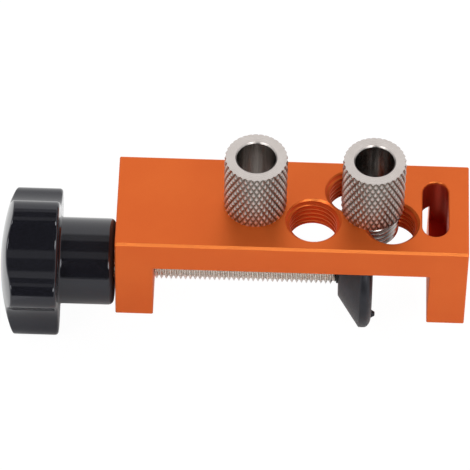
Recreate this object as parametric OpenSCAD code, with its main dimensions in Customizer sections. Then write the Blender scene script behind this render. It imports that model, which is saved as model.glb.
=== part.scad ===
// Profile drilling jig: a milled bridge with five threaded guide holes, two
// screw-in drill bushings, and a clamp screw that pushes a round jaw pad
// towards the fixed jaw.
// X runs along the block, away from the knob. X = 0 is the fixed jaw's face,
// Y = 0 is the middle of the block's width and Z = 0 is the middle of the
// fixed jaw's face, so every hole distance is measured from the origin.

/* [Block] */
// Clear length between the two legs
gap_l = 70.6; // [62:0.1:100]
// Thickness of each leg along the block
leg_t = 9.7; // [6:0.1:16]
// Width of the block
block_w = 30; // [27:0.5:40]
// Thickness of the plate that joins the legs
plate_t = 9.5; // [8.8:0.1:14]
// Height of the legs below the plate
jaw_depth = 18.3; // [15:0.1:26]
// Chamfer on the outer edges of the block
edge_chamfer = 0.5; // [0.2:0.1:1]

/* [Guide holes] */
// Distance of the first guide hole from the fixed jaw
first_hole_x = 10; // [9:0.5:12]
// Distance of the second guide hole from the fixed jaw
second_hole_x = 15; // [13:0.5:17]
// Distance of the third guide hole from the fixed jaw
third_hole_x = 20; // [18:0.5:24]
// Distance of the fourth guide hole from the fixed jaw
fourth_hole_x = 30; // [27:0.5:35]
// Distance of the fifth guide hole from the fixed jaw
fifth_hole_x = 45; // [41:0.5:52]
// Distance of the two outer rows of holes from the middle row
row_offset = 5; // [3:0.1:6]
// Outer diameter of the guide thread
guide_thread_d = 13.94; // [12:0.02:14.5]
// Pitch of the guide thread
guide_pitch = 1.5; // [1:0.25:1.75]
// Chamfer at both ends of each guide hole
hole_chamfer = 0.25; // [0.1:0.05:0.5]

/* [Sight slot] */
// Width of the sight slot along the block
slot_w = 6.7; // [4.5:0.1:8]
// Length of the sight slot across the block
slot_l = 18.2; // [12:0.1:20]
// How far the slot reaches into the fixed leg, past the jaw's face
slot_in_leg = 4.5; // [3:0.1:5.5]
// Depth of the slot's floor below the top of the block
slot_depth = 15; // [14.5:0.1:17]

/* [Bushings] */
// Diameter of the knurled head
head_d = 16.2; // [15:0.1:16.4]
// Height of the knurled head
head_h = 18; // [10:0.5:30]
// Length of the threaded tail below the head
tail_l = 8.5; // [5:0.1:8.9]
// Bore that guides the drill
bore_d = 10; // [5:0.1:11]
// Chamfer at the mouth of the bore
bore_chamfer = 0.35; // [0.1:0.05:0.6]
// Chamfer round the top and the foot of the head
head_chamfer = 0.3; // [0.1:0.05:0.6]
// Plain neck that the thread runs out into, under the head
neck_l = 1; // [0.6:0.1:1.4]

/* [Clamp screw] */
// Outer diameter of the clamp screw's thread
rod_d = 8; // [6.5:0.1:9]
// Pitch of the clamp screw's thread
rod_pitch = 1.25; // [1:0.05:1.5]
// Depth of the screw's axis below the plate
rod_drop = 11.8; // [10:0.1:13]
// Distance of the screw's axis in front of the middle
rod_offset = 3.1; // [1.5:0.1:5]
// Diameter of the plain spigot that carries the jaw pad
spigot_d = 5.5; // [5:0.1:6]
// Gap between the screw's end and the bottom of the knob's insert
rod_end_gap = 0.5; // [0.2:0.1:2]

/* [Jaw pad] */
// Outer diameter of the jaw pad
pad_d = 30; // [24:0.5:32]
// Diameter of the pad's small end, towards the knob
pad_small_d = 13.9; // [13:0.1:18]
// Length of the pad's cone
cone_l = 5.55; // [4.6:0.05:7]
// Length of the straight rim after the cone
rim_l = 1.35; // [1:0.05:3]
// Length of the rounding between the rim and the pressing face
round_l = 1.8; // [1.4:0.1:2.6]
// Width of the same rounding, measured inwards from the rim
round_w = 3; // [1:0.1:3.2]
// Distance between the pad and the fixed jaw when the screw is fully in
pad_rest_gap = 14.3; // [12:0.1:20]
// Diameter of the ring on which the grip pips stand
pip_ring_d = 22.8; // [17:0.1:24]
// Diameter of each grip pip at its foot
pip_d = 2.2; // [1:0.1:3]
// Height of each grip pip
pip_h = 1; // [0.4:0.1:1.2]
// Number of grip pips
pip_count = 4; // [2:1:8]
// Diameter of the recess for the retaining screw
recess_d = 12; // [11.4:0.1:13]
// Depth of the recess for the retaining screw
recess_depth = 4; // [3.4:0.1:4.4]

/* [Retaining pieces] */
// Diameter of the thrust washer behind the pad
thrust_d = 7.6; // [7:0.1:11]
// Thickness of the thrust washer
thrust_t = 0.5; // [0.4:0.1:1.2]
// Diameter of the retaining washer
washer_d = 9.4; // [8:0.1:10.6]
// Thickness of the retaining washer
washer_t = 0.8; // [0.5:0.1:1]
// Shank diameter of the retaining screw
lock_screw_d = 3; // [2.5:0.1:3.2]
// Shank length of the retaining screw
lock_screw_l = 8; // [6:0.1:10]
// Head diameter of the retaining screw
lock_head_d = 5.7; // [5:0.1:7]
// Head height of the retaining screw
lock_head_h = 1.65; // [1.4:0.05:2]
// Width across the flats of the retaining screw's socket
lock_socket_w = 2; // [1.5:0.1:2.5]

/* [Knob] */
// Diameter across the knob's lobes
knob_d = 39; // [34:0.1:46]
// Number of lobes round the knob, with as many hollows
lobes = 5; // [4:1:7]
// Radius of each lobe's round end
lobe_r = 5.2; // [4:0.1:6]
// Depth of the hollows between the lobes
hollow_depth = 4.8; // [4:0.1:5.5]
// Thickness of the knob's rim at the lobes
rim_t = 11.3; // [8:0.1:16]
// Height of the dome above the rim
dome_h = 4; // [2:0.1:6]
// Diameter of the knob's hub
hub_d = 22.3; // [19:0.1:25]
// Length of the knob's hub
hub_l = 14.2; // [10:0.1:20]
// Gap between the hub and the block when the screw is fully in
hub_gap = 0.6; // [0.5:0.1:3]
// Angle of one hollow from straight up, towards the front
hollow_angle = 35; // [0:0.5:72]
// Diameter of the metal insert moulded into the hub
insert_d = 14; // [11:0.1:16]
// Length of the metal insert
insert_l = 14; // [10:0.1:18]
// How far the insert sits below the hub's end face
insert_sink = 0.4; // [0.2:0.1:1]

/* [Hidden] */
$fn = 96;

// Clearances and the overrun of cuts
over = 1;
run_clear = 0.05;
seat_clear = 0.02;
slide_gap = 0.3;
end_float = 0.05;
blend = 0.02;

// Shares of the pitch in a metric thread: its depth, its crest and its root
thread_depth_share = 0.6134;
crest_share = 0.125;
root_share = 0.25;

// Shares of a pip's foot, and of the retaining screw's head
pip_tip_share = 0.25;
head_crown_share = 0.6;
head_edge_share = 0.35;

// Sizes of the block, worked out
block_l = gap_l + 2 * leg_t;
plate_z = jaw_depth / 2;
top_z = plate_z + plate_t;
foot_z = -jaw_depth / 2;
left_x = -gap_l - leg_t;
hole_d = guide_thread_d + 2 * run_clear;
HOLES = [[-first_hole_x, -row_offset], [-second_hole_x, 0], [-third_hole_x, row_offset],
    [-fourth_hole_x, -row_offset], [-fifth_hole_x, 0]];

// Places along the clamp screw
rod_z = plate_z - rod_drop;
pad_l = cone_l + rim_l + round_l;
pad_face_x = -pad_rest_gap;
pad_back_x = pad_face_x - pad_l;
recess_x = pad_face_x - recess_depth;
shoulder_x = pad_back_x - end_float - thrust_t;
spigot_end_x = recess_x + end_float;
hub_end_x = left_x - hub_gap;
insert_end_x = hub_end_x - insert_sink;
rod_end_x = insert_end_x - insert_l + rod_end_gap;
rim_x = hub_end_x - hub_l;
lobe_x = rim_x - rim_t;

// The knob's lobes and the round hollows that run into them
lobe_at = knob_d / 2 - lobe_r;
valley_r = knob_d / 2 - hollow_depth;
lobe_reach = lobe_at * cos(180 / lobes);
hollow_r = (pow(valley_r, 2) + pow(lobe_at, 2) - 2 * lobe_reach * valley_r - pow(lobe_r, 2))
    / (2 * (lobe_r + lobe_reach - valley_r));
hollow_at = valley_r + hollow_r;
meet_angle = asin(lobe_at * sin(180 / lobes) / (lobe_r + hollow_r));

// Runs the children's Z axis along the clamp screw, with their origin at x
module along_screw(x) {
    translate([x, -rod_offset, rod_z]) rotate([0, 90, 0]) children();
}

// Outline points of a thread's teeth, as [radius, height], from z = start up
function teeth(crest_r, pitch, count, start) = [
    for (i = [0 : count - 1], p = [
        [crest_r, (1 - crest_share) / 2 - root_share / 2],
        [crest_r - thread_depth_share * pitch, (1 - root_share) / 2],
        [crest_r - thread_depth_share * pitch, (1 + root_share) / 2],
        [crest_r, (1 + crest_share) / 2 + root_share / 2]])
        [p[0], start + (i + p[1]) * pitch]
];

module block_outline() {
    // The bridge seen from the front: plate, two legs and chamfered corners
    c = edge_chamfer;
    polygon([[left_x + c, top_z], [leg_t - c, top_z], [leg_t, top_z - c], [leg_t, foot_z + c],
        [leg_t - c, foot_z], [0, foot_z], [0, plate_z], [-gap_l, plate_z], [-gap_l, foot_z],
        [left_x + c, foot_z], [left_x, foot_z + c], [left_x, top_z - c]]);
}

module chamfered_slab(l, w, h) {
    // A box from [0, 0, 0] whose four upright edges are chamfered
    c = edge_chamfer;
    linear_extrude(h) polygon([[c, 0], [l - c, 0], [l, c], [l, w - c], [l - c, w], [c, w],
        [0, w - c], [0, c]]);
}

module guide_hole() {
    // A threaded guide hole at its thread's outer diameter, chamfered at both ends
    r = hole_d / 2;
    translate([0, 0, plate_z - over]) cylinder(r = r, h = plate_t + 2 * over);
    translate([0, 0, top_z - hole_chamfer])
        cylinder(r1 = r, r2 = r + hole_chamfer + over, h = hole_chamfer + over);
    translate([0, 0, plate_z - over])
        cylinder(r1 = r + hole_chamfer + over, r2 = r, h = hole_chamfer + over);
}

module slot_outline(grow) {
    // The sight slot from above, with round ends
    r = slot_w / 2 + grow;
    y = slot_l / 2 - slot_w / 2;
    for (side = [-1, 1]) translate([0, side * y]) circle(r = r);
    square([2 * r, 2 * y], center = true);
}

module sight_slot() {
    // Goes right through the plate beside the jaw and stops inside the fixed leg
    translate([slot_in_leg - slot_w / 2, 0, top_z - slot_depth])
        linear_extrude(slot_depth + over) slot_outline(0);
    translate([slot_in_leg - slot_w / 2, 0, top_z - hole_chamfer])
        linear_extrude(hole_chamfer + over) slot_outline(hole_chamfer);
}

module jig_block() {
    color("#da682e") difference() {
        intersection() {
            translate([0, block_w / 2, 0]) rotate([90, 0, 0])
                linear_extrude(block_w) block_outline();
            translate([left_x, -block_w / 2, foot_z - over])
                chamfered_slab(block_l, block_w, top_z - foot_z + 2 * over);
            translate([left_x - over, -block_w / 2, foot_z]) rotate([90, 0, 90])
                chamfered_slab(block_w, top_z - foot_z, block_l + 2 * over);
        }
        for (p = HOLES) translate([p[0], p[1], 0]) guide_hole();
        sight_slot();
        along_screw(left_x - over) cylinder(d = rod_d + 2 * run_clear, h = leg_t + 2 * over);
    }
}

module guide_bushing(p) {
    // Knurled head standing on the plate, threaded tail in the guide hole
    crest_r = guide_thread_d / 2;
    root_r = crest_r - thread_depth_share * guide_pitch;
    head_r = head_d / 2;
    bore_r = bore_d / 2;
    lead = crest_r - root_r;
    count = floor((tail_l - neck_l - lead) / guide_pitch);
    color("#b9b4ae") translate([p[0], p[1], top_z]) rotate_extrude() polygon(concat(
        [[bore_r + bore_chamfer, -tail_l], [crest_r - lead, -tail_l], [crest_r, lead - tail_l]],
        teeth(crest_r, guide_pitch, count, lead - tail_l),
        [[crest_r, -neck_l], [root_r, -neck_l], [root_r, 0],
        [head_r - head_chamfer, 0], [head_r, head_chamfer],
        [head_r, head_h - head_chamfer], [head_r - head_chamfer, head_h],
        [bore_r + bore_chamfer, head_h], [bore_r, head_h - bore_chamfer],
        [bore_r, bore_chamfer - tail_l]]));
}

module guide_bushing_1() {
    guide_bushing(HOLES[4]);
}

module guide_bushing_2() {
    guide_bushing(HOLES[1]);
}

module clamp_screw() {
    // Threaded rod with a plain spigot, drilled for the retaining screw
    crest_r = rod_d / 2;
    lead = thread_depth_share * rod_pitch;
    thread_l = shoulder_x - rod_end_x - 2 * lead;
    count = floor(thread_l / rod_pitch);
    spigot_l = spigot_end_x - shoulder_x;
    color("#b4aea8") along_screw(rod_end_x) difference() {
        rotate_extrude() polygon(concat(
            [[0, 0], [crest_r - lead, 0], [crest_r, lead]],
            teeth(crest_r, rod_pitch, count, lead),
            [[crest_r, thread_l + lead], [crest_r - lead, thread_l + 2 * lead],
            [spigot_d / 2, thread_l + 2 * lead], [spigot_d / 2, thread_l + 2 * lead + spigot_l],
            [0, thread_l + 2 * lead + spigot_l]]));
        translate([0, 0, spigot_end_x - rod_end_x - lock_screw_l - over])
            cylinder(d = lock_screw_d + 2 * seat_clear, h = lock_screw_l + 2 * over);
    }
}

module knob_outline() {
    // A star of round lobes: a core between the places where lobes and hollows meet, the
    // lobes, and the hollows cut from both, which overlap the lobes by blend
    step = 360 / lobes;
    difference() {
        union() {
            polygon([for (i = [0 : lobes - 1], side = [1, -1])
                [hollow_at * cos(i * step) - hollow_r * cos(i * step + side * meet_angle),
                 hollow_at * sin(i * step) - hollow_r * sin(i * step + side * meet_angle)]]);
            for (i = [0 : lobes - 1])
                rotate((i + 0.5) * step) translate([lobe_at, 0]) circle(r = lobe_r);
        }
        for (i = [0 : lobes - 1])
            rotate(i * step) translate([hollow_at, 0]) circle(r = hollow_r + blend);
    }
}

module knob() {
    // Star of round lobes with a domed face and a round hub
    rim_r = knob_d / 2;
    dome_r = (pow(rim_r, 2) + pow(dome_h, 2)) / (2 * dome_h);
    color("#1d1d20") along_screw(lobe_x - dome_h) difference() {
        union() {
            intersection() {
                linear_extrude(dome_h + rim_t) rotate(180 + hollow_angle) knob_outline();
                translate([0, 0, dome_r]) sphere(r = dome_r, $fn = 192);
            }
            translate([0, 0, dome_h + rim_t / 2]) cylinder(d = hub_d, h = hub_l + rim_t / 2);
        }
        translate([0, 0, insert_end_x - insert_l - lobe_x + dome_h])
            cylinder(d = insert_d + 2 * seat_clear, h = insert_l + insert_sink + over);
    }
}

module knob_insert() {
    // Metal bush in the hub that the clamp screw is locked into
    color("#b08d3f") along_screw(insert_end_x - insert_l) difference() {
        cylinder(d = insert_d, h = insert_l);
        translate([0, 0, -over])
            cylinder(d = rod_d + 2 * seat_clear, h = insert_l + 2 * over);
    }
}

module ring(outer_d, inner_d, t) {
    difference() {
        cylinder(d = outer_d, h = t);
        translate([0, 0, -over]) cylinder(d = inner_d, h = t + 2 * over);
    }
}

module thrust_washer() {
    color("#2b2b2e") along_screw(shoulder_x)
        ring(thrust_d, spigot_d + 2 * seat_clear, thrust_t);
}

module jaw_pad() {
    // Turned cone with a rounded face, a flat that slides under the plate and grip pips
    r = pad_d / 2;
    steps = 8;
    color("#2c2c30") difference() {
        union() {
            along_screw(pad_back_x) difference() {
                rotate_extrude() polygon(concat(
                    [[0, 0], [pad_small_d / 2, 0], [r, cone_l]],
                    [for (i = [0 : steps]) [r - round_w * (1 - cos(90 * i / steps)),
                        cone_l + rim_l + round_l * sin(90 * i / steps)]],
                    [[0, pad_l]]));
                translate([0, 0, -over])
                    cylinder(d = spigot_d + 2 * run_clear, h = pad_l + 2 * over);
                translate([0, 0, pad_l - recess_depth])
                    cylinder(d = recess_d, h = recess_depth + over);
            }
            along_screw(pad_face_x) for (i = [0 : pip_count - 1])
                rotate((i + 0.5) * 360 / pip_count) translate([pip_ring_d / 2, 0, 0])
                    cylinder(d1 = pip_d, d2 = pip_tip_share * pip_d, h = pip_h, $fn = 32);
        }
        translate([pad_back_x - over, -rod_offset - r - over, plate_z - slide_gap])
            cube([pad_l + pip_h + 2 * over, 2 * (r + over), r + over]);
    }
}

module retaining_washer() {
    color("#b9b4ae") along_screw(spigot_end_x)
        ring(washer_d, lock_screw_d + 2 * seat_clear, washer_t);
}

module retaining_screw() {
    // Low round-headed screw with a hexagon socket
    head_r = lock_head_d / 2;
    head_x = spigot_end_x + washer_t;
    socket_r = lock_socket_w / 2 / cos(30);
    color("#8f8b86") along_screw(head_x) difference() {
        rotate_extrude() polygon([[0, -lock_screw_l], [lock_screw_d / 2, -lock_screw_l],
            [lock_screw_d / 2, 0], [head_r, 0], [head_r, head_edge_share * lock_head_h],
            [head_crown_share * head_r, lock_head_h], [0, lock_head_h]]);
        translate([0, 0, head_edge_share * lock_head_h])
            cylinder(r = socket_r, h = lock_head_h + over, $fn = 6);
    }
}

jig_block();
guide_bushing_1();
guide_bushing_2();
clamp_screw();
knob();
knob_insert();
thrust_washer();
jaw_pad();
retaining_washer();
retaining_screw();
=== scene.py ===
import math

import bmesh
import bpy
from mathutils import Matrix, Vector


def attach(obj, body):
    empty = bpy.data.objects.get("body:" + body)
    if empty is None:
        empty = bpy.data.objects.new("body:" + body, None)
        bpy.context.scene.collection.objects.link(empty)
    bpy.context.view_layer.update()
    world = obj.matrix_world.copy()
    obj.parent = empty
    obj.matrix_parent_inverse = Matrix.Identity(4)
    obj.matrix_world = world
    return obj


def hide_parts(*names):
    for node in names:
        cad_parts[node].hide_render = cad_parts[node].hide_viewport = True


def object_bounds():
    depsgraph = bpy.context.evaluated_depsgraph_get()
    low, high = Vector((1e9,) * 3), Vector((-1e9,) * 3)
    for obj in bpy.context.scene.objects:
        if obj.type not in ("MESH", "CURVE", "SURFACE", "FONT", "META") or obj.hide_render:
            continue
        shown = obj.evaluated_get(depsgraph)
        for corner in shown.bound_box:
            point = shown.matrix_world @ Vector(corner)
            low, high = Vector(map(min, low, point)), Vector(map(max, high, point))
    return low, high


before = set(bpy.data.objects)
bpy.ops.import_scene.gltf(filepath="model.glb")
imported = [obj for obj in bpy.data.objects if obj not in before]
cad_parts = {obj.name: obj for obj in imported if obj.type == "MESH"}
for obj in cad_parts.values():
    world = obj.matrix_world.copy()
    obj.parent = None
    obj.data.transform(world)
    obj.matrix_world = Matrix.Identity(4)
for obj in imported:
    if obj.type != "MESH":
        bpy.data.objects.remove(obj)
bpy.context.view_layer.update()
scene = bpy.context.scene

# All sizes below are in millimetres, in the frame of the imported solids.
MM = 0.001

# The block: X = 0 is the fixed jaw's face, Z = 0 the middle of its height
LEFT_X, GAP_X, RIGHT_X = -80.3, -70.6, 9.7
HALF_W, FOOT_Z, PLATE_Z, TOP_Z = 15.0, -9.15, 9.15, 18.65
# The top's front and back edges are broken wider than the others
LONG_EDGE, SHORT_EDGE = 0.6, 0.25
HOLES = [(-10, -5), (-15, 0), (-20, 5), (-30, -5), (-45, 0)]
MOUTH_CHAMFER = 0.25
# The sight slot's middle, the radius and place of its round ends, and its floor
SLOT_X, SLOT_R, SLOT_END_Y, SLOT_FLOOR_Z = 1.15, 3.35, 5.75, 3.65

# Threads: outer radius, depth and pitch, and the room between a screw and its hole
GUIDE_R, GUIDE_DEPTH, GUIDE_PITCH = 6.97, 0.92, 1.5
ROD_R, ROD_DEPTH, ROD_PITCH = 3.95, 0.767, 1.25
THREAD_ROOM = 0.05

# Drill bushings
BUSHINGS = {"bushing_1": (-45, 0), "bushing_2": (-15, 0)}
HEAD_R, HEAD_H, HEAD_CHAMFER, KNURL_DEPTH = 8.1, 18.0, 0.28, 0.48
TAIL_L, BORE_R, BORE_CHAMFER = 8.5, 5.0, 0.35
# Between these radii the knurl's painted groove shade goes from dark to bright
GROOVE_R, CREST_R = 7.7, 7.95

# Clamp screw, jaw pad and knob, all on one axis
AXIS_Y, AXIS_Z = -3.1, -2.65
ROD_END_X, SHOULDER_X, SPIGOT_END_X, SPIGOT_R = -94.8, -23.55, -18.25, 2.75
PAD_BACK_X, PAD_R, PAD_FLAT_Z = -23.0, 15.0, 8.85
KNOB_X, KNOB_R, DOME_RISE, HUB_END_X = -110.4, 19.85, 3.7, -80.9
# The knob's lobes, and how far its top hollow is turned from straight up to the front
LOBES, LOBE_R, HOLLOW_DEPTH, HOLLOW_ANGLE = 5, 5.3, 4.9, 33.8


def linear(hex_colour):
    """An sRGB hex colour as linear red, green, blue and alpha."""
    parts = [int(hex_colour[i:i + 2], 16) / 255 for i in (1, 3, 5)]
    return [c / 12.92 if c <= 0.04045 else ((c + 0.055) / 1.055) ** 2.4 for c in parts] + [1.0]


def node(tree, kind, inputs=(), out=0, **settings):
    """Adds one node and gives the output named by out. Its inputs, in order or by name, are
    values or the outputs of other nodes."""
    made = tree.nodes.new(kind)
    for name, value in settings.items():
        setattr(made, name, value)
    for key, value in inputs.items() if isinstance(inputs, dict) else enumerate(inputs):
        if isinstance(value, bpy.types.NodeSocket):
            tree.links.new(value, made.inputs[key])
        else:
            made.inputs[key].default_value = value
    return made if out is None else made.outputs[out]


# ---------------------------------------------------------------- shapes


def along_screw(x):
    """Turns a shape's own Z axis along the clamp screw, with its origin at x."""
    return Matrix.Translation((x, AXIS_Y, AXIS_Z)) @ Matrix.Rotation(math.radians(90), 4, "Y")


def new_object(name, mesh):
    """An object at the origin, in the scene."""
    made = bpy.data.objects.new(name, mesh)
    scene.collection.objects.link(made)
    return made


def from_points(name, points, faces, place=Matrix.Identity(4)):
    """A mesh from points in millimetres, with its doubles merged and its normals outward."""
    mesh = bpy.data.meshes.new(name)
    mesh.from_pydata([place @ Vector(p) * MM for p in points], [], faces)
    bm = bmesh.new()
    bm.from_mesh(mesh)
    bmesh.ops.remove_doubles(bm, verts=bm.verts, dist=1e-7)
    bmesh.ops.delete(bm, geom=[e for e in bm.edges if e.is_wire], context="EDGES")
    bmesh.ops.recalc_face_normals(bm, faces=bm.faces)
    bm.to_mesh(mesh)
    bm.free()
    return new_object(name, mesh)


def bend(start, corner, end, steps):
    """Points of the arc that rounds a corner between two points at equal distance from it."""
    a, c, b = Vector(start), Vector(corner), Vector(end)
    turn = (c - a).angle(b - c, 0.0)
    w = math.cos(turn / 2)
    points = []
    for i in range(steps + 1):
        s = i / steps
        k = [(1 - s) ** 2, 2 * s * (1 - s) * w, s * s]
        points.append((a * k[0] + c * k[1] + b * k[2]) / sum(k))
    return points


def softened(corners, steps=4):
    """An outline whose corners, given as (height, radius, rounding), are rounded."""
    points = [Vector(c[:2]) for c in corners]
    made = []
    for i, corner in enumerate(corners):
        here, before, after = points[i], points[i - 1], points[(i + 1) % len(points)]
        rounding = corner[2] if len(corner) > 2 else 0
        if not rounding:
            made.append(here)
            continue
        turn = (here - before).angle(after - here)
        reach = min(rounding * math.tan(turn / 2), 0.45 * (here - before).length,
                    0.45 * (after - here).length)
        made += bend(here + (before - here).normalized() * reach, here,
                     here + (after - here).normalized() * reach, steps)
    return made


def lathe(name, outline, place, segments=128):
    """A closed ring or solid turned from an outline of (height, radius) points."""
    points, faces = [], []
    for height, radius in outline:
        for j in range(segments):
            t = 2 * math.pi * j / segments
            points.append((radius * math.cos(t), radius * math.sin(t), height))
    rows = len(outline)
    for i in range(rows):
        for j in range(segments):
            k, m = (i + 1) % rows, (j + 1) % segments
            faces.append([i * segments + j, i * segments + m, k * segments + m, k * segments + j])
    return from_points(name, points, faces, place)


def loft(name, below, above, low, high, place=Matrix.Identity(4)):
    """A solid from one flat outline of (x, y) points at low to another at high."""
    n = len(below)
    points = [(x, y, low) for x, y in below] + [(x, y, high) for x, y in above]
    faces = [list(range(n))[::-1], [n + i for i in range(n)]]
    faces += [[i, (i + 1) % n, n + (i + 1) % n, n + i] for i in range(n)]
    return from_points(name, points, faces, place)


def prism(name, outline, low, high, place=Matrix.Identity(4)):
    """A flat outline of (x, y) points pulled up from low to high."""
    return loft(name, outline, outline, low, high, place)


def combine(base, tools, operation):
    """Adds or cuts the tools to or from the base one by one, and removes them."""
    for tool in tools:
        change = base.modifiers.new("combine", "BOOLEAN")
        change.operation, change.solver, change.object = operation, "MANIFOLD", tool
        settle(base)
        bpy.data.objects.remove(tool)
    return base


def settle(obj):
    """Turns what the object's modifiers make into its plain mesh."""
    bpy.context.view_layer.update()
    made = bpy.data.meshes.new_from_object(
        obj.evaluated_get(bpy.context.evaluated_depsgraph_get()))
    obj.modifiers.clear()
    obj.data = made
    return obj


def finish_piece(obj, body, finish, replaced, sharp=35):
    """Smooth faces with sharp edges, one material, the body that carries the piece, and the
    nodes that it stands for."""
    obj.data.materials.clear()
    obj.data.materials.append(finish)
    obj.data.shade_smooth()
    obj.data.set_sharp_from_angle(angle=math.radians(sharp))
    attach(obj, body)
    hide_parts(*replaced)
    return obj


# ------------------------------------------------------- Geometry Nodes trees


def turned_solid_tree(name, sizes, sums):
    """A Geometry Nodes tree for a closed round solid, with named inputs for its sizes. The
    sums, one Math node each, lead from the sizes and each point's place on a flat grid to its
    turn, row, height and radius. The first and last row close the two ends."""
    tree = bpy.data.node_groups.new(name, "GeometryNodeTree")
    for label, kind in sizes + [("Material", "Material")]:
        tree.interface.new_socket(label, in_out="INPUT", socket_type="NodeSocket" + kind)
    tree.interface.new_socket("Mesh", in_out="OUTPUT", socket_type="NodeSocketGeometry")
    given = node(tree, "NodeGroupInput", out=None).outputs
    spot = node(tree, "GeometryNodeInputPosition")
    flat = node(tree, "ShaderNodeSeparateXYZ", [spot], out=None).outputs
    known = {label: given[label] for label, kind in sizes}
    known.update({"across": flat["X"], "along": flat["Y"]})
    for label, operation, *values in sums + [
            ("from end", "SUBTRACT", "last row", "row"),
            ("from end", "MINIMUM", "from end", "row"),
            ("inner", "GREATER_THAN", "from end", 0.5),
            ("radius", "MULTIPLY", "radius", "inner"),
            ("angle", "MULTIPLY", "turn", 2 * math.pi),
            ("x", "COSINE", "angle"), ("x", "MULTIPLY", "x", "radius"),
            ("y", "SINE", "angle"), ("y", "MULTIPLY", "y", "radius"),
            ("grid columns", "ADD", "columns", 1.0), ("grid rows", "ADD", "last row", 1.0)]:
        known[label] = node(tree, "ShaderNodeMath", [known.get(v, v) for v in values],
                            operation=operation)
    grid = node(tree, "GeometryNodeMeshGrid", {
        "Size X": 1.0, "Size Y": 1.0, "Vertices X": known["grid columns"],
        "Vertices Y": known["grid rows"]})
    place = node(tree, "ShaderNodeCombineXYZ", [known["x"], known["y"], known["height"]])
    wall = node(tree, "GeometryNodeSetPosition", {"Geometry": grid, "Position": place})
    merged = node(tree, "GeometryNodeMergeByDistance", {"Geometry": wall, "Distance": 1e-4})
    real = node(tree, "GeometryNodeRealizeInstances", {"Geometry": merged})
    painted = node(tree, "GeometryNodeSetMaterial", {
        "Geometry": real, "Material": given["Material"]})
    node(tree, "NodeGroupOutput", {"Mesh": painted}, out=None)
    return tree


# The turn, from 0 to 1 round the axis, and the row of each point of the grid
TURN_AND_ROW = [
    ("turn", "ADD", "across", 0.5),
    ("row", "ADD", "along", 0.5),
    ("row", "MULTIPLY", "row", "last row"),
    ("row", "ROUND", "row")]


def within(label, low, high):
    """The sums that keep a value between two others."""
    return [(label, "MAXIMUM", label, low), (label, "MINIMUM", label, high)]


def thread_tree():
    """A solid rod with a right-handed metric thread, from height 0 up."""
    # Two of every four rows move by a sixteenth of the pitch, onto the two ends of the crest
    ease = 1 / 16 / math.sin(2 * math.pi / 3)
    return turned_solid_tree("metric_thread", [
        ("Crest radius", "Float"), ("Depth", "Float"), ("Pitch", "Float"), ("Length", "Float"),
        ("Taper", "Float"), ("Segments", "Int")], [
        ("columns", "ADD", "Segments", 0.0),
        # Enough turns to cover the length with rows that climb a pitch round the rod
        ("turns", "DIVIDE", "Length", "Pitch"),
        ("turns", "ADD", "turns", 1.625),
        ("turns", "CEIL", "turns"),
        ("last row", "MULTIPLY", "turns", 4.0)] + TURN_AND_ROW + [
        # Four rows to a pitch stand at the two ends of the root and the two ends of the crest
        ("step", "FLOORED_MODULO", "row", 4.0),
        ("step", "MULTIPLY", "step", 2 * math.pi / 3),
        ("step", "SINE", "step"),
        ("step", "MULTIPLY", "step", ease),
        ("height", "MULTIPLY_ADD", "row", 0.25, "step"),
        ("height", "ADD", "height", "turn"),
        ("height", "SUBTRACT", "height", 1.375),
        ("height", "MULTIPLY", "height", "Pitch")] + within("height", 0.0, "Length") + [
        # The crest's middle is where the height in pitches is the turn plus a whole number.
        # From there, 0, to the root's middle, 1, come flat crest, slope and flat root
        ("off crest", "DIVIDE", "height", "Pitch"),
        ("off crest", "SUBTRACT", "off crest", "turn"),
        ("off crest", "ADD", "off crest", 2.5),
        ("off crest", "FRACT", "off crest"),
        ("off crest", "MULTIPLY_ADD", "off crest", 2.0, -1.0),
        ("off crest", "ABSOLUTE", "off crest"),
        ("cut", "SUBTRACT", "off crest", 0.125),
        ("cut", "DIVIDE", "cut", 0.625)] + within("cut", 0.0, 1.0) + [
        ("cut", "MULTIPLY", "cut", "Depth"),
        ("radius", "SUBTRACT", "Crest radius", "cut"),
        # Each end starts on a cone
        ("near end", "SUBTRACT", "Length", "height"),
        ("near end", "MINIMUM", "near end", "height"),
        ("start", "SUBTRACT", "Crest radius", "Taper"),
        ("start", "ADD", "start", "near end"),
        ("radius", "MINIMUM", "radius", "start")])


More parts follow.
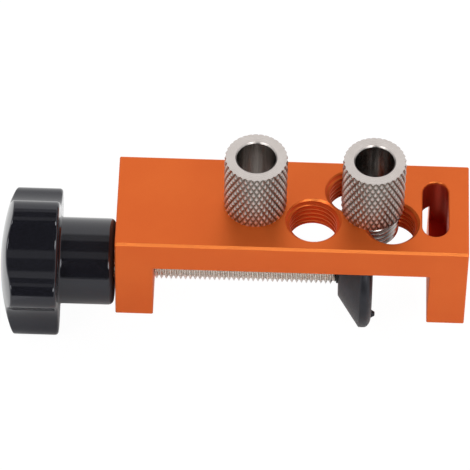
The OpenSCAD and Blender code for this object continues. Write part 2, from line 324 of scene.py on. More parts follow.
def knurl_tree():
    """A solid cylinder from height 0 up, with a diamond knurl pressed into its whole side."""
    floor_from = 0.96
    grooves = []
    for label, operation in (("left", "ADD"), ("right", "SUBTRACT")):
        grooves += [(label, operation, "round", "high"), (label, "FRACT", label),
                    (label, "MULTIPLY_ADD", label, 2.0, -1.0), (label, "ABSOLUTE", label)]
    return turned_solid_tree("diamond_knurl", [
        ("Radius", "Float"), ("Height", "Float"), ("Depth", "Float"), ("Chamfer", "Float"),
        ("Flat share", "Float"), ("Grooves round", "Int"), ("Diamonds high", "Int"),
        ("Steps", "Int")], [
        ("columns", "MULTIPLY", "Grooves round", "Steps"),
        ("rows", "MULTIPLY", "Diamonds high", "Steps"),
        ("last row", "ADD", "rows", 2.0)] + TURN_AND_ROW + [
        ("height", "SUBTRACT", "row", 1.0),
        ("height", "DIVIDE", "height", "rows")] + within("height", 0.0, 1.0) + [
        ("high", "MULTIPLY", "height", "Diamonds high"),
        ("height", "MULTIPLY", "height", "Height"),
        ("round", "MULTIPLY", "turn", "Grooves round")] + grooves + [
        # Between crossing grooves with narrow floors stand diamonds with small flat tops
        ("cut", "MAXIMUM", "left", "right"),
        ("cut", "SUBTRACT", "cut", "Flat share"),
        ("slope", "SUBTRACT", floor_from, "Flat share"),
        ("cut", "DIVIDE", "cut", "slope")] + within("cut", 0.0, 1.0) + [
        ("cut", "MULTIPLY", "cut", "Depth"),
        ("radius", "SUBTRACT", "Radius", "cut"),
        ("near end", "SUBTRACT", "Height", "height"),
        ("near end", "MINIMUM", "near end", "height"),
        ("start", "SUBTRACT", "Radius", "Chamfer"),
        ("start", "ADD", "start", "near end"),
        ("radius", "MINIMUM", "radius", "start")])


def grown(name, tree, values, place):
    """A plain mesh grown by a Geometry Nodes tree from its named inputs, then put in its place."""
    obj = new_object(name, bpy.data.meshes.new(name))
    change = obj.modifiers.new("grow", "NODES")
    change.node_group = tree
    for item in tree.interface.items_tree:
        if item.in_out == "INPUT" and item.name in values:
            change[item.identifier] = values[item.name]
    settle(obj)
    bm = bmesh.new()
    bm.from_mesh(obj.data)
    bmesh.ops.transform(bm, matrix=Matrix.Scale(MM, 4) @ place, verts=bm.verts)
    bm.to_mesh(obj.data)
    bm.free()
    return obj


# ------------------------------------------------------------------ materials


def material(name, surface):
    """A material whose one shader gets the sockets that surface(tree, coords) works out."""
    made = bpy.data.materials.new(name)
    made.use_nodes = True
    tree = made.node_tree
    tree.nodes.clear()
    coords = node(tree, "ShaderNodeTexCoord", out="Object")
    shader = node(tree, "ShaderNodeBsdfPrincipled", surface(tree, coords))
    node(tree, "ShaderNodeOutputMaterial", {"Surface": shader}, out=None)
    return made


def anodised_aluminium(tree, coords):
    # 6061 aluminium, milled, bead blasted and dyed orange in the anodising bath: a tinted, satin
    # metal reflection, of which the oxide scatters a quarter, with a fine even grain of 0.35 mm
    # and faint clouds
    cloud = node(tree, "ShaderNodeTexNoise", {"Vector": coords, "Scale": 1 / (18 * MM)})
    grain = node(tree, "ShaderNodeTexNoise", {
        "Vector": coords, "Scale": 1 / (0.35 * MM), "Detail": 3.0})
    share = node(tree, "ShaderNodeMapRange", [cloud, 0.35, 0.65, 0.0, 1.0])
    dye_and_painted_light = node(tree, "ShaderNodeMix", {
        0: share, 6: linear("#ed6d2b"), 7: linear("#f1722e")}, out=2, data_type="RGBA")
    # A painted highlight makes the colour paler where a long edge is broken at 45 degrees:
    # there the product of the normal's Y and Z is 0.5
    facing = node(tree, "ShaderNodeNewGeometry", out="True Normal")
    facing = node(tree, "ShaderNodeSeparateXYZ", [facing], out=None).outputs
    broken = node(tree, "ShaderNodeMath", [facing["Y"], facing["Z"]], operation="MULTIPLY")
    broken = node(tree, "ShaderNodeMath", [broken], operation="ABSOLUTE")
    painted_edge_highlight = node(tree, "ShaderNodeMapRange", [broken, 0.43, 0.49, 0.0, 1.0])
    dye_and_painted_light = node(tree, "ShaderNodeMix", {
        0: painted_edge_highlight, 6: dye_and_painted_light, 7: linear("#ff8c40")}, out=2, data_type="RGBA")
    # Painted shade makes it darker and redder on the flanks of the threads, which lean 30 degrees
    upward = node(tree, "ShaderNodeMath", [facing["Z"]], operation="ABSOLUTE")
    painted_flank_shade = node(tree, "ShaderNodeMath", [upward, math.cos(math.radians(30)), 0.05],
                 operation="COMPARE")
    dye_and_painted_light = node(tree, "ShaderNodeMix", {
        0: painted_flank_shade, 6: dye_and_painted_light, 7: linear("#e2511c")}, out=2, data_type="RGBA")
    # Painted shade makes it deep red-brown in the sight slot: no further from the slot's
    # middle line than its walls, and from its floor up to just under its mouth
    off = node(tree, "ShaderNodeVectorMath", [coords, (SLOT_X * MM, 0, 0)], operation="SUBTRACT")
    off = node(tree, "ShaderNodeVectorMath", [off], operation="ABSOLUTE")
    off = node(tree, "ShaderNodeVectorMath", [off, (0, SLOT_END_Y * MM, 0)], operation="SUBTRACT")
    off = node(tree, "ShaderNodeVectorMath", [off, (0, 0, 0)], operation="MAXIMUM")
    off = node(tree, "ShaderNodeVectorMath", [off, (1, 1, 0)], operation="MULTIPLY")
    off = node(tree, "ShaderNodeVectorMath", [off], out="Value", operation="LENGTH")
    painted_shade_inside = node(tree, "ShaderNodeMath", [off, (SLOT_R + 0.05) * MM], operation="LESS_THAN")
    height = node(tree, "ShaderNodeSeparateXYZ", [coords], out="Z")
    below = node(tree, "ShaderNodeMapRange", [
        height, (TOP_Z - 1.2) * MM, (TOP_Z - 0.3) * MM, 1.0, 0.0])
    above = node(tree, "ShaderNodeMath", [height, (SLOT_FLOOR_Z - 0.1) * MM],
                 operation="GREATER_THAN")
    painted_slot_shade = node(tree, "ShaderNodeMath", [painted_shade_inside, below], operation="MULTIPLY")
    painted_slot_shade = node(tree, "ShaderNodeMath", [painted_slot_shade, above], operation="MULTIPLY")
    return {
        "Base Color": node(tree, "ShaderNodeMix", {0: painted_slot_shade, 6: dye_and_painted_light, 7: linear("#c54228")},
                           out=2, data_type="RGBA"),
        "Roughness": node(tree, "ShaderNodeMapRange", [grain, 0.35, 0.65, 0.38, 0.48]),
        "Normal": node(tree, "ShaderNodeBump", {"Height": grain, "Distance": 0.006 * MM}),
        "Metallic": 0.74}


def bushing_steel(spot):
    """Steel for the bushing that stands on a spot of the block."""

    def surface(tree, coords):
        # 304 stainless steel, turned and knurled, left bare: warm grey and smooth, with faint
        # rings 0.55 mm apart on its face. The roller leaves the knurl duller, and painted shade
        # darkens its grooves. Painted shade makes the reamed bore darker too, with streaks along
        # it
        centred = node(tree, "ShaderNodeMapping", {
            "Vector": coords, "Location": (-spot[0] * MM, -spot[1] * MM, 0), "Scale": (1, 1, 0)})
        reach = node(tree, "ShaderNodeVectorMath", [centred], out="Value", operation="LENGTH")
        turned = node(tree, "ShaderNodeMath", [reach, 2 * math.pi / (0.55 * MM)],
                      operation="MULTIPLY")
        rings = node(tree, "ShaderNodeMath", [turned], operation="SINE")
        smear = node(tree, "ShaderNodeTexNoise", {"Vector": coords, "Scale": 1 / (2.5 * MM)})
        share = node(tree, "ShaderNodeMapRange", [smear, 0.3, 0.7, 0.0, 1.0])
        steel_and_groove_shade = node(tree, "ShaderNodeMix", {
            0: share, 6: linear("#cbc3be"), 7: linear("#d8d0cb")}, out=2, data_type="RGBA")
        # The knurled side is what lies far out and doesn't face up, so the end stays bright
        up = node(tree, "ShaderNodeNewGeometry", out="Normal")
        up = node(tree, "ShaderNodeSeparateXYZ", [up], out="Z")
        wall = node(tree, "ShaderNodeMapRange", [up, 0.8, 0.9, 1.0, 0.0])
        outer = node(tree, "ShaderNodeMapRange", [reach, 7.2 * MM, 7.3 * MM, 0.0, 1.0])
        knurled = node(tree, "ShaderNodeMath", [wall, outer], operation="MULTIPLY")
        # Painted shade darkens the knurl's grooves
        painted_groove_shade = node(tree, "ShaderNodeMapRange", [reach, GROOVE_R * MM, CREST_R * MM, 1.0, 0.0])
        painted_groove_shade = node(tree, "ShaderNodeMath", [painted_groove_shade, knurled], operation="MULTIPLY")
        steel_and_groove_shade = node(tree, "ShaderNodeMix", {
            0: painted_groove_shade, 6: steel_and_groove_shade, 7: linear("#888179")}, out=2, data_type="RGBA")
        tall = node(tree, "ShaderNodeMapping", {"Vector": coords, "Scale": (1, 1, 0.05)})
        streaks = node(tree, "ShaderNodeTexNoise", {
            "Vector": tall, "Scale": 1 / (0.7 * MM), "Detail": 3.0})
        share = node(tree, "ShaderNodeMapRange", [streaks, 0.35, 0.65, 0.0, 1.0])
        # Painted shade: the bore's steel is darker than the face, with streaks along it
        bore = node(tree, "ShaderNodeMix", {
            0: share, 6: linear("#8f8a87"), 7: linear("#b9b4b0")}, out=2, data_type="RGBA")
        painted_shade_inside = node(tree, "ShaderNodeMapRange", [
            reach, (BORE_R + 0.05) * MM, (BORE_R + 0.3) * MM, 1.0, 0.0])
        # The knurl and the chamfer at the bore's mouth are duller than the turned face
        mouth = node(tree, "ShaderNodeMath", [reach, (BORE_R + 0.2) * MM, 0.17 * MM],
                     operation="COMPARE")
        dull = node(tree, "ShaderNodeMath", [knurled, mouth], operation="ADD")
        polish = node(tree, "ShaderNodeMapRange", [smear, 0.3, 0.7, 0.2, 0.27])
        return {
            "Base Color": node(tree, "ShaderNodeMix", {0: painted_shade_inside, 6: steel_and_groove_shade, 7: bore},
                               out=2, data_type="RGBA"),
            "Roughness": node(tree, "ShaderNodeMath", [dull, 0.12, polish],
                              operation="MULTIPLY_ADD"),
            "Normal": node(tree, "ShaderNodeBump", {"Height": rings, "Distance": 0.0025 * MM}),
            "Metallic": 1.0}

    return surface


def rolled_thread_steel(tree, coords):
    # Threaded rod of plain steel: rolled threads, bright, with painted shade that makes the
    # roots a little darker than the crests
    centred = node(tree, "ShaderNodeMapping", {
        "Vector": coords, "Location": (0, -AXIS_Y * MM, -AXIS_Z * MM), "Scale": (0, 1, 1)})
    reach = node(tree, "ShaderNodeVectorMath", [centred], out="Value", operation="LENGTH")
    smear = node(tree, "ShaderNodeTexNoise", {
        "Vector": coords, "Scale": 1 / (0.8 * MM), "Detail": 3.0})
    # Painted shade, darker towards the thread's roots
    share = node(tree, "ShaderNodeMapRange", [
        reach, (ROD_R - ROD_DEPTH) * MM, ROD_R * MM, 0.0, 1.0])
    return {
        "Base Color": node(tree, "ShaderNodeMix", {
            0: share, 6: linear("#dcd2c8"), 7: linear("#faf5ef")}, out=2, data_type="RGBA"),
        "Roughness": node(tree, "ShaderNodeMapRange", [smear, 0.3, 0.7, 0.2, 0.32]),
        "Normal": node(tree, "ShaderNodeBump", {"Height": smear, "Distance": 0.004 * MM}),
        "Metallic": 1.0}


def black_phenolic(tree, coords):
    # Phenolic resin, compression moulded in a polished tool: nearly black, with a faintly blue
    # gloss, ripples 6 mm wide and fine specks of filler, and matt where the hub's end is faced
    ripple = node(tree, "ShaderNodeTexNoise", {
        "Vector": coords, "Scale": 1 / (6 * MM), "Detail": 1.0})
    specks = node(tree, "ShaderNodeTexNoise", {"Vector": coords, "Scale": 1 / (0.5 * MM)})
    share = node(tree, "ShaderNodeMapRange", [specks, 0.4, 0.7, 0.0, 1.0])
    polish = node(tree, "ShaderNodeMapRange", [specks, 0.3, 0.7, 0.06, 0.1])
    along = node(tree, "ShaderNodeSeparateXYZ", [coords], out="X")
    faced = node(tree, "ShaderNodeMapRange", [
        along, (HUB_END_X - 1.2) * MM, (HUB_END_X - 0.3) * MM, 0.0, 1.0])
    return {
        "Base Color": node(tree, "ShaderNodeMix", {
            0: share, 6: linear("#17171c"), 7: linear("#1e1e25")}, out=2, data_type="RGBA"),
        "Roughness": node(tree, "ShaderNodeMath", [faced, 0.8, polish], operation="MULTIPLY_ADD"),
        "Normal": node(tree, "ShaderNodeBump", {"Height": ripple, "Distance": 0.008 * MM}),
        "Specular Tint": (0.93, 0.94, 1.0, 1.0), "IOR": 1.6}


def moulded_nylon(tree, coords):
    # PA6 nylon, moulded in a blasted tool: charcoal black, half matt, with a grain of 0.45 mm
    # that catches the light in pale specks, and a faintly blue gloss
    grain = node(tree, "ShaderNodeTexNoise", {
        "Vector": coords, "Scale": 1 / (0.45 * MM), "Detail": 4.0})
    worn = node(tree, "ShaderNodeTexNoise", {"Vector": coords, "Scale": 1 / (4 * MM)})
    share = node(tree, "ShaderNodeMapRange", [worn, 0.35, 0.75, 0.0, 1.0])
    return {
        "Base Color": node(tree, "ShaderNodeMix", {
            0: share, 6: linear("#151518"), 7: linear("#222227")}, out=2, data_type="RGBA"),
        "Roughness": node(tree, "ShaderNodeMapRange", [grain, 0.3, 0.7, 0.28, 0.42]),
        "Normal": node(tree, "ShaderNodeBump", {"Height": grain, "Distance": 0.03 * MM}),
        "Specular Tint": (0.88, 0.9, 1.0, 1.0), "IOR": 1.53}


def machined_acetal(tree, coords):
    # Acetal, turned from black rod: darker and smoother than the pad, with a waxy gloss
    smear = node(tree, "ShaderNodeTexNoise", {"Vector": coords, "Scale": 1 / (1.5 * MM)})
    return {
        "Base Color": linear("#101012"),
        "Roughness": node(tree, "ShaderNodeMapRange", [smear, 0.3, 0.7, 0.38, 0.5]),
        "Normal": node(tree, "ShaderNodeBump", {"Height": smear, "Distance": 0.004 * MM}),
        "IOR": 1.48}


def small_metal(dark, light):
    """A finish for the small turned parts, from its two colours."""

    def surface(tree, coords):
        # Turned brass, or steel plated with zinc: bright, with clouds 1.2 mm wide
        cloud = node(tree, "ShaderNodeTexNoise", {
            "Vector": coords, "Scale": 1 / (1.2 * MM), "Detail": 3.0})
        share = node(tree, "ShaderNodeMapRange", [cloud, 0.3, 0.7, 0.0, 1.0])
        return {
            "Base Color": node(tree, "ShaderNodeMix", {
                0: share, 6: linear(dark), 7: linear(light)}, out=2, data_type="RGBA"),
            "Roughness": node(tree, "ShaderNodeMapRange", [cloud, 0.3, 0.7, 0.24, 0.36]),
            "Normal": node(tree, "ShaderNodeBump", {"Height": cloud, "Distance": 0.003 * MM}),
            "Metallic": 1.0}

    return surface


orange = material("anodised_aluminium", anodised_aluminium)
head_steel = {body: material("turned_steel_" + body, bushing_steel(spot))
              for body, spot in BUSHINGS.items()}
thread_steel = material("rolled_thread_steel", rolled_thread_steel)
black_gloss = material("black_phenolic", black_phenolic)
black_matt = material("black_nylon", moulded_nylon)
washer_black = material("black_acetal", machined_acetal)
brass = material("turned_brass", small_metal("#a57f3c", "#c29a52"))
zinc = material("zinc_plated_steel", small_metal("#9a9896", "#b6b4b0"))

# ------------------------------------------------------------------ the block

metric_thread, diamond_knurl = thread_tree(), knurl_tree()


def bridge():
    """The milled bar before its holes: a plate on two legs with softly broken edges."""
    c = [(LEFT_X, FOOT_Z), (GAP_X, FOOT_Z), (GAP_X, PLATE_Z), (0, PLATE_Z), (0, FOOT_Z),
         (RIGHT_X, FOOT_Z), (RIGHT_X, TOP_Z), (LEFT_X, TOP_Z)]
    front = Matrix.Rotation(math.radians(90), 4, "X")
    made = prism("jig_body", c, -HALF_W, HALF_W, front)
    bm = bmesh.new()
    bm.from_mesh(made.data)
    long = [e for e in bm.edges if min(v.co.z for v in e.verts) > (TOP_Z - 0.1) * MM
            and abs(e.verts[0].co.y - e.verts[1].co.y) < 0.1 * MM]
    bmesh.ops.bevel(bm, geom=long, offset=LONG_EDGE * MM, offset_type="OFFSET", segments=1,
                    affect="EDGES")
    short = [e for e in bm.edges if e.is_convex and e.calc_face_angle() > math.radians(60)]
    bmesh.ops.bevel(bm, geom=short, offset=SHORT_EDGE * MM, offset_type="OFFSET", segments=1,
                    affect="EDGES")
    bm.to_mesh(made.data)
    bm.free()
    return made


def guide_hole_cutters():
    """For each guide hole a thread and the two cones that chamfer its mouths."""
    tools = []
    reach = 1.6  # how deep a cone goes, past the thread's root
    for i, (x, y) in enumerate(HOLES):
        start = TOP_Z - TAIL_L - 2 * GUIDE_PITCH
        tools.append(grown("hole_%d" % i, metric_thread, {
            "Crest radius": GUIDE_R + THREAD_ROOM, "Depth": GUIDE_DEPTH, "Pitch": GUIDE_PITCH,
            "Length": 10 * GUIDE_PITCH, "Taper": 0.0, "Segments": 72, "Material": orange},
            Matrix.Translation((x, y, start))))
        mouth = GUIDE_R + THREAD_ROOM + MOUTH_CHAMFER
        for surface, way in ((TOP_Z, 1), (PLATE_Z, -1)):
            tools.append(lathe("mouth_%d" % i, [
                (-way * reach, 0), (-way * reach, mouth - reach), (way, mouth + 1), (way, 0)],
                Matrix.Translation((x, y, surface)), 72))
    return tools


def slot_outline(radius, steps=14):
    """The sight slot seen from above: two half circles and the straight sides between them."""
    points = []
    for side in (-1, 1):
        for i in range(steps + 1):
            t = math.pi * (i / steps) + (math.pi if side < 0 else 0)
            points.append((SLOT_X + radius * math.cos(t),
                           side * SLOT_END_Y + radius * math.sin(t)))
    return points


def slot_cutters():
    """The sight slot and its narrow chamfer."""
    pocket = prism("slot", slot_outline(SLOT_R), SLOT_FLOOR_Z, TOP_Z + 2)
    edge_z = TOP_Z - MOUTH_CHAMFER
    mouth = loft("slot_mouth", slot_outline(SLOT_R - 0.5), slot_outline(SLOT_R + 1.0),
                 edge_z - 0.5, edge_z + 1.0)
    return [pocket, mouth]


def screw_hole_cutters():
    """The threaded hole for the clamp screw, in step with the screw's own thread."""
    start = ROD_END_X + 10 * ROD_PITCH
    hole = grown("screw_hole", metric_thread, {
        "Crest radius": ROD_R + THREAD_ROOM, "Depth": ROD_DEPTH, "Pitch": ROD_PITCH,
        "Length": 12 * ROD_PITCH, "Taper": 0.0, "Segments": 48, "Material": orange},
        along_screw(start))
    mouths = [lathe("screw_mouth", [
        (-way * 1.2, 0), (-way * 1.2, ROD_R - 0.8), (way, ROD_R + 1.4), (way, 0)],
        along_screw(x), 48) for x, way in ((LEFT_X, -1), (GAP_X, 1))]
    return [hole] + mouths


jig_body = combine(bridge(), guide_hole_cutters() + slot_cutters() + screw_hole_cutters(),
                   "DIFFERENCE")
finish_piece(jig_body, "block", orange, ["jig_block"], 16)

# ------------------------------------------------------------------- bushings


def bushing(body, x, y):
    """Knurled head, plain neck and threaded tail in one, bored through and chamfered."""
    name, steel = "drill_" + body, head_steel[body]
    head = grown(name, diamond_knurl, {
        "Radius": HEAD_R, "Height": HEAD_H, "Depth": KNURL_DEPTH, "Chamfer": HEAD_CHAMFER,
        "Flat share": 0.15, "Grooves round": 33, "Diamonds high": 6, "Steps": 10,
        "Material": steel},
        Matrix.Translation((x, y, TOP_Z)))
    # The thread ends a little under the head, on a plain neck as thick as its root
    tail = grown("tail", metric_thread, {
        "Crest radius": GUIDE_R, "Depth": GUIDE_DEPTH, "Pitch": GUIDE_PITCH,
        "Length": TAIL_L - 0.6, "Taper": GUIDE_DEPTH, "Segments": 72, "Material": steel},
        Matrix.Translation((x, y, TOP_Z - TAIL_L)))
    root = GUIDE_R - GUIDE_DEPTH
    neck = lathe("neck", [(-1.5, 0), (-1.5, root), (0.3, root), (0.3, 0)],
                 Matrix.Translation((x, y, TOP_Z)), 72)
    combine(head, [tail, neck], "UNION")
    wide, c = BORE_R + BORE_CHAMFER + 0.5, BORE_CHAMFER
    bore = lathe("bore", [
        (-TAIL_L - 0.5, 0), (-TAIL_L - 0.5, wide), (-TAIL_L + c, BORE_R), (HEAD_H - c, BORE_R),
        (HEAD_H + 0.5, wide), (HEAD_H + 0.5, 0)], Matrix.Translation((x, y, TOP_Z)), 96)
    combine(head, [bore], "DIFFERENCE")
    return finish_piece(head, body, steel, ["guide_" + body], 24)


for body, (x, y) in BUSHINGS.items():
    bushing(body, x, y)

# ---------------------------------------------------- clamp screw and its pad

rod = grown("clamp_rod", metric_thread, {
    "Crest radius": ROD_R, "Depth": ROD_DEPTH, "Pitch": ROD_PITCH,
    "Length": SHOULDER_X - ROD_END_X, "Taper": ROD_DEPTH, "Segments": 48,
    "Material": thread_steel}, along_screw(ROD_END_X))
spigot = lathe("spigot", softened([
    (-3, 0), (-3, SPIGOT_R), (SPIGOT_END_X - SHOULDER_X, SPIGOT_R, 0.3),
    (SPIGOT_END_X - SHOULDER_X, 0)]), along_screw(SHOULDER_X), 48)
combine(rod, [spigot], "UNION")
screw_bore = lathe("screw_bore", [(-8, 0), (-8, 1.52), (1, 1.52), (1, 0)],
                   along_screw(SPIGOT_END_X), 32)
combine(rod, [screw_bore], "DIFFERENCE")
finish_piece(rod, "screw", thread_steel, ["clamp_screw"], 30)


def jaw_pad():
    """Cone with a rounded face, cut flat where it slides under the plate, with four grip pips."""
    back_r, cone_end, side_end, face, face_round = 6.95, 5.55, 6.9, 8.7, 3.0
    hole_r, recess_r, recess_floor = 2.8, 6.0, 4.7
    pip_r, pip_top_r, pip_circle_r, pip_turn = 1.1, 0.55, 11.4, 40
    quarter = [math.radians(90 * i / 10) for i in range(1, 10)]
    rounding = [(side_end + (face - side_end) * math.sin(t),
                 PAD_R - face_round * (1 - math.cos(t))) for t in quarter]
    outline = softened([
        (0, hole_r), (0, back_r, 0.35), (cone_end, PAD_R, 0.45), (side_end, PAD_R)] + rounding + [
        (face, PAD_R - face_round), (face, recess_r, 0.3), (recess_floor, recess_r, 0.2),
        (recess_floor, hole_r)])
    pad = lathe("clamp_pad", outline, along_screw(PAD_BACK_X), 144)
    pips = []
    for i in range(4):
        t = math.radians(pip_turn + 90 * i)
        spot = Matrix.Translation((pip_circle_r * math.cos(t), pip_circle_r * math.sin(t), face))
        pips.append(lathe("pip", softened([
            (-0.6, 0), (-0.6, pip_r), (0, pip_r), (1, pip_top_r, 0.3), (1, 0)]),
            along_screw(PAD_BACK_X) @ spot, 24))
    combine(pad, pips, "UNION")
    low_x, high_x = PAD_BACK_X - 2, PAD_BACK_X + 14
    over = [(low_x, -25), (high_x, -25), (high_x, 15), (low_x, 15)]
    combine(pad, [prism("over_flat", over, PAD_FLAT_Z, PAD_FLAT_Z + 12)], "DIFFERENCE")
    return finish_piece(pad, "jaw", black_matt, ["jaw_pad"], 32)


jaw_pad()

# M3 button head screw with a 2 mm hexagon socket, on the washer at the end of the spigot
WASHER_THICKNESS, SOCKET_R = 0.8, 1.155
seat = along_screw(SPIGOT_END_X + WASHER_THICKNESS)
bolt = lathe("retaining_bolt", softened([
    (-8, 0), (-8, 1.5, 0.3), (0, 1.5), (0, 2.85, 0.15), (0.55, 2.85, 0.1), (1.2, 2.35, 1.5),
    (1.65, 1.4, 0.6), (1.65, 0)]), seat, 48)
hexagon = [(SOCKET_R * math.cos(math.radians(60 * i)), SOCKET_R * math.sin(math.radians(60 * i)))
           for i in range(6)]
combine(bolt, [prism("socket", hexagon, 0.55, 3, seat)], "DIFFERENCE")
finish_piece(bolt, "screw", zinc, ["retaining_screw"])

# ----------------------------------------------------------------- the knob


def star_radius(angle):
    """Distance of the knob's side from its axis at an angle from the middle of a hollow, on a
    star whose round lobes run into round hollows."""
    half = math.pi / LOBES
    lobe_at, valley = KNOB_R - LOBE_R, KNOB_R - HOLLOW_DEPTH
    reach = lobe_at * math.cos(half)
    hollow_r = ((valley ** 2 + lobe_at ** 2 - 2 * reach * valley - LOBE_R ** 2)
                / (2 * (LOBE_R + reach - valley)))
    hollow_at = valley + hollow_r
    meet = math.atan2(lobe_at * math.sin(half) * hollow_r, hollow_at * LOBE_R + reach * hollow_r)
    off = abs((angle + half) % (2 * half) - half)
    if off < meet:
        return hollow_at * math.cos(off) - math.sqrt(
            hollow_r ** 2 - (hollow_at * math.sin(off)) ** 2)
    side = half - off
    return lobe_at * math.cos(side) + math.sqrt(LOBE_R ** 2 - (lobe_at * math.sin(side)) ** 2)


def knob():
    """Star knob with a domed face, rounded edges, a hub and a hole for its insert."""
    dome_r = (KNOB_R ** 2 + DOME_RISE ** 2) / (2 * DOME_RISE)
    back, hub_end, hub_r, hole_r, hole_end = 15.3, HUB_END_X - KNOB_X, 11.2, 7.02, 15.1
    front_round, back_round, hub_fillet, hub_round, hole_chamfer = 0.5, 0.9, 0.8, 1.5, 0.2
    start = math.radians(180 + HOLLOW_ANGLE)
    columns, dome_steps = 600, 14
    points = []
    for j in range(columns):
        angle = 2 * math.pi * j / columns
        side = star_radius(angle - start)
        slope = math.asin(side / dome_r)
        rim = dome_r - dome_r * math.cos(slope)
        reach = front_round * math.tan((math.pi / 2 - slope) / 2)
        last = side - reach * math.cos(slope)
        dome = [last * i / dome_steps for i in range(dome_steps)]
        profile = [(dome_r - math.sqrt(dome_r ** 2 - r ** 2), r) for r in dome]
        profile += bend((rim - reach * math.sin(slope), last), (rim, side), (rim + reach, side), 5)
        profile += bend((back - back_round, side), (back, side), (back, side - back_round), 6)
        profile += bend((back, hub_r + hub_fillet), (back, hub_r), (back + hub_fillet, hub_r), 4)
        profile += bend((hub_end - hub_round, hub_r), (hub_end, hub_r),
                        (hub_end, hub_r - hub_round), 8)
        profile += [(hub_end, hole_r + hole_chamfer), (hub_end - hole_chamfer, hole_r),
                    (hole_end, hole_r), (hole_end, 0)]
        points += [(r * math.cos(angle), r * math.sin(angle), h) for h, r in profile]
    rows = len(profile)
    faces = [[j * rows + i, (j + 1) % columns * rows + i, (j + 1) % columns * rows + i + 1,
              j * rows + i + 1] for j in range(columns) for i in range(rows - 1)]
    made = from_points("star_knob", points, faces, along_screw(KNOB_X))
    return finish_piece(made, "screw", black_gloss, ["knob"], 40)


knob()

# ------------------------------------------------- nodes that keep their shape

for name, finish, slot in (("knob_insert", brass, "brass"),
                           ("thrust_washer", washer_black, "black_nylon"),
                           ("retaining_washer", zinc, "zinc_steel")):
    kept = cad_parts[name]
    kept.data.materials.clear()
    kept.data.materials.append(finish)

# ------------------------------------------------------------ floor and lights

FLOOR_HALF, FLOOR_Z = 4000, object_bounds()[0][2] / MM
corners = [(-FLOOR_HALF, -FLOOR_HALF), (FLOOR_HALF, -FLOOR_HALF),
           (FLOOR_HALF, FLOOR_HALF), (-FLOOR_HALF, FLOOR_HALF)]
ground = prism("floor", corners, FLOOR_Z - 5, FLOOR_Z)
paper = bpy.data.materials.new("floor_paper")
paper.use_nodes = True
tree = paper.node_tree
tree.nodes.clear()
# White paper that keeps the object's shadow. The camera sees mostly its glow. Mirrored in the
# object, it has painted light behind it and beyond the knob, and is plain where the object shades
# it
matt = node(tree, "ShaderNodeBsdfDiffuse", {"Color": linear("#e2e2e2")})
glow = node(tree, "ShaderNodeEmission", {"Color": linear("#ffffff"), "Strength": 1.06})
floor_at = node(tree, "ShaderNodeTexCoord", out="Object")
floor_at = node(tree, "ShaderNodeSeparateXYZ", [floor_at], out=None).outputs
behind = node(tree, "ShaderNodeMapRange", [floor_at["Y"], 10 * MM, 19 * MM, 0.0, 0.95])
beyond = node(tree, "ShaderNodeMapRange", [floor_at["X"], -110 * MM, -116 * MM, 0.0, 0.85])
lit_floor = node(tree, "ShaderNodeMath", [behind, beyond], operation="MAXIMUM")
rays = node(tree, "ShaderNodeLightPath", out=None).outputs
mirrored = node(tree, "ShaderNodeMath", [rays["Is Glossy Ray"], rays["Is Transmission Ray"]],
                operation="MAXIMUM")
mirrored = node(tree, "ShaderNodeMath", [mirrored, lit_floor], operation="MULTIPLY")
glowing = node(tree, "ShaderNodeMath", [rays["Is Camera Ray"], 0.9, mirrored],
               operation="MULTIPLY_ADD")
mixed = node(tree, "ShaderNodeMixShader", [glowing, matt, glow])
node(tree, "ShaderNodeOutputMaterial", {"Surface": mixed}, out=None)
ground.data.materials.append(paper)

# In degrees from overhead, the front positive: the white backdrop, a dim ceiling with a pale
# band before and behind it, and the dark room behind the photographer
LEVELS = [(-90, 1.05), (-38, 1.05), (-31, 0.42), (-17, 0.42), (-12, 0.08), (14, 0.08), (18, 0.3),
          (32, 0.3), (37, 0.03), (84, 0.03), (90, 0.4)]
# The soft boxes' turns from the front in degrees, their height and angular radius, and level
BOX_TURNS, BOX_HEIGHT, BOX_INNER, BOX_OUTER, BOX_LEVEL = (-37, 27), 38, 9, 12, 6.0

world = bpy.data.worlds.new("studio")
world.use_nodes = True
scene.world = world
tree = world.node_tree
tree.nodes.clear()
direction = node(tree, "ShaderNodeTexCoord", out="Generated")
way = node(tree, "ShaderNodeSeparateXYZ", [direction], out=None).outputs
forward = node(tree, "ShaderNodeMath", [way["Y"], -1.0], operation="MULTIPLY")
tilt = node(tree, "ShaderNodeMath", [forward, way["Z"]], operation="ARCTAN2")
tilt = node(tree, "ShaderNodeMapRange", [tilt, -math.pi / 2, math.pi / 2, 0.0, 1.0])
ramp = node(tree, "ShaderNodeValToRGB", [tilt], out=None)
stops = ramp.color_ramp.elements
for degrees, level in LEVELS[1:-1]:
    stops.new((degrees + 90) / 180)
for stop, (degrees, level) in zip(stops, LEVELS):
    stop.color = (level, level, level, 1)
# The side walls are pale, but dark below in their half behind the object, and a paler panel
# stands square to each side
width = node(tree, "ShaderNodeMath", [way["X"]], operation="ABSOLUTE")
sideways = node(tree, "ShaderNodeMapRange", [width, 0.5, 0.65, 0.0, 1.0])
low = node(tree, "ShaderNodeMapRange", [way["Y"], -0.1, 0.2, 0.85, 0.06])
wall = node(tree, "ShaderNodeMapRange", [way["Z"], 0.15, 0.45, low, 0.85])
room = node(tree, "ShaderNodeMix", {0: sideways, 6: ramp.outputs["Color"], 7: wall}, out=2,
            data_type="RGBA")
panel = node(tree, "ShaderNodeMapRange", [width, 0.86, 0.92, 0.0, 1.0])
room = node(tree, "ShaderNodeMix", {0: panel, 6: room, 7: (0.9, 0.9, 0.9, 1)}, out=2,
            data_type="RGBA")
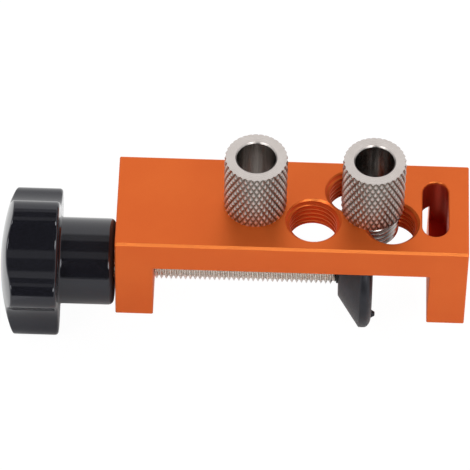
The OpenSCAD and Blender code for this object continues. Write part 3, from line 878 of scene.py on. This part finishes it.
# Two round soft boxes stand before the object, left and right of the camera
for angle in BOX_TURNS:
    t, up = math.radians(angle), math.radians(BOX_HEIGHT)
    middle = (math.sin(t) * math.cos(up), -math.cos(t) * math.cos(up), math.sin(up))
    near = node(tree, "ShaderNodeVectorMath", [direction, middle], out="Value",
                operation="DOT_PRODUCT")
    lit = node(tree, "ShaderNodeMapRange", [
        near, math.cos(math.radians(BOX_OUTER)), math.cos(math.radians(BOX_INNER)), 0.0, 1.0])
    room = node(tree, "ShaderNodeMix", {
        0: lit, 6: room, 7: (BOX_LEVEL, BOX_LEVEL, BOX_LEVEL, 1)}, out=2, data_type="RGBA")
# Polished surfaces mirror the room as it is. Matt ones get 1.7 times its light, because its
# dark parts, which are wide for the sake of what is mirrored, leave a matt front dim
rays = node(tree, "ShaderNodeLightPath", out=None).outputs
strength = node(tree, "ShaderNodeMath", [rays["Is Diffuse Ray"], 0.7, 1.0],
                operation="MULTIPLY_ADD")
sky = node(tree, "ShaderNodeBackground", {"Color": room, "Strength": strength})
node(tree, "ShaderNodeOutputWorld", {"Surface": sky}, out=None)

# ----------------------------------------------------------------- the camera

# Fitted to the block's corners: the camera's place, its three turns in degrees, and its focal
# length in pixels of a picture 470 wide
VIEW_PLACE = (-39.56, -753.08, 906.57)
VIEW_DOWN, VIEW_PAN, VIEW_ROLL, VIEW_PIXELS, VIEW_WIDTH = 50.098, -0.795, 1.167, 4551.4, 470
lens = bpy.data.cameras.new("camera")
lens.sensor_width = 36.0
lens.lens = lens.sensor_width * VIEW_PIXELS / VIEW_WIDTH
lens.clip_start, lens.clip_end = 0.01, 50.0
camera = bpy.data.objects.new("camera", lens)
scene.collection.objects.link(camera)
turned = (Matrix.Rotation(math.radians(-VIEW_PAN), 4, "Z")
          @ Matrix.Rotation(math.radians(90 - VIEW_DOWN), 4, "X")
          @ Matrix.Rotation(math.radians(VIEW_ROLL), 4, "Z"))
camera.matrix_world = Matrix.Translation(Vector(VIEW_PLACE) * MM) @ turned
scene.camera = camera
scene.view_settings.view_transform = "Standard"
